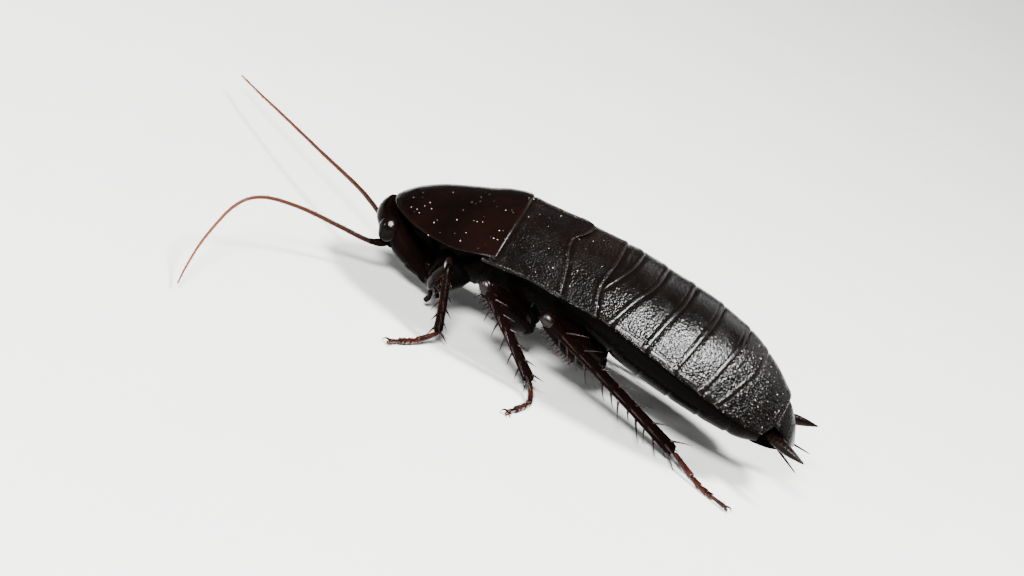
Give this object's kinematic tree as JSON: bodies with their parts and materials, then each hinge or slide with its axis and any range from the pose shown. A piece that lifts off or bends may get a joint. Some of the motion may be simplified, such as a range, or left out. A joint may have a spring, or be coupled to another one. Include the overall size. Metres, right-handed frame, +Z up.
{
  "type": "cockroach model",
  "caption": "Life-size still model of a short-winged woods cockroach, standing, with a domed plated back, shield over the head, long curved feelers, spiny legs and short cerci.",
  "frame": {"origin": "on the floor, under the middle of the animal's box, feelers included", "axes": "the head looks along -X, the animal's left side is -Y, +Z is up from the floor"},
  "size_m": [0.054, 0.0464, 0.0117],
  "materials": {
    "back": "glossy black, finely granulate",
    "shield": "polished black-brown with a reddish tint",
    "head": "polished black-brown",
    "underside": "glossy black",
    "leg": "glossy dark brown",
    "amber": "translucent red-brown",
    "feeler": "ringed, dark brown to orange-brown",
    "eye": "wet-looking black"
  },
  "bodies": {
    "root": {"antenna_left_1": "feeler", "antenna_left_2": "feeler", "antenna_left_3": "feeler", "antenna_left_4": "feeler", "antenna_left_scape": "feeler", "antenna_right_1": "feeler", "antenna_right_2": "feeler", "antenna_right_3": "feeler", "antenna_right_scape": "feeler", "belly": "underside", "cercus_left": "amber", "cercus_right": "amber", "eye_left": "eye", "eye_right": "eye", "fore_left_coxa": "leg", "fore_left_femur": "leg", "fore_left_tarsus": "amber", "fore_left_tibia": "leg", "fore_right_coxa": "leg", "fore_right_femur": "leg", "fore_right_tarsus": "amber", "fore_right_tibia": "leg", "head": "head", "hind_left_coxa": "leg", "hind_left_femur": "leg", "hind_left_tarsus": "amber", "hind_left_tibia": "leg", "hind_right_coxa": "leg", "hind_right_femur": "leg", "hind_right_tarsus": "amber", "hind_right_tibia": "leg", "mesonotum": "back", "metanotum": "back", "mid_left_coxa": "leg", "mid_left_femur": "leg", "mid_left_tarsus": "amber", "mid_left_tibia": "leg", "mid_right_coxa": "leg", "mid_right_femur": "leg", "mid_right_tarsus": "amber", "mid_right_tibia": "leg", "mouthparts": "head", "neck": "head", "pronotum": "shield", "stylus_left": "amber", "stylus_right": "amber", "subgenital_plate": "underside", "supra_anal_plate": "back", "tergite_1": "back", "tergite_2": "back", "tergite_3": "back", "tergite_4": "back", "tergite_5": "back", "tergite_6": "back", "tergite_7": "back", "thorax_underside": "underside"}
  },
  "joints": []
}
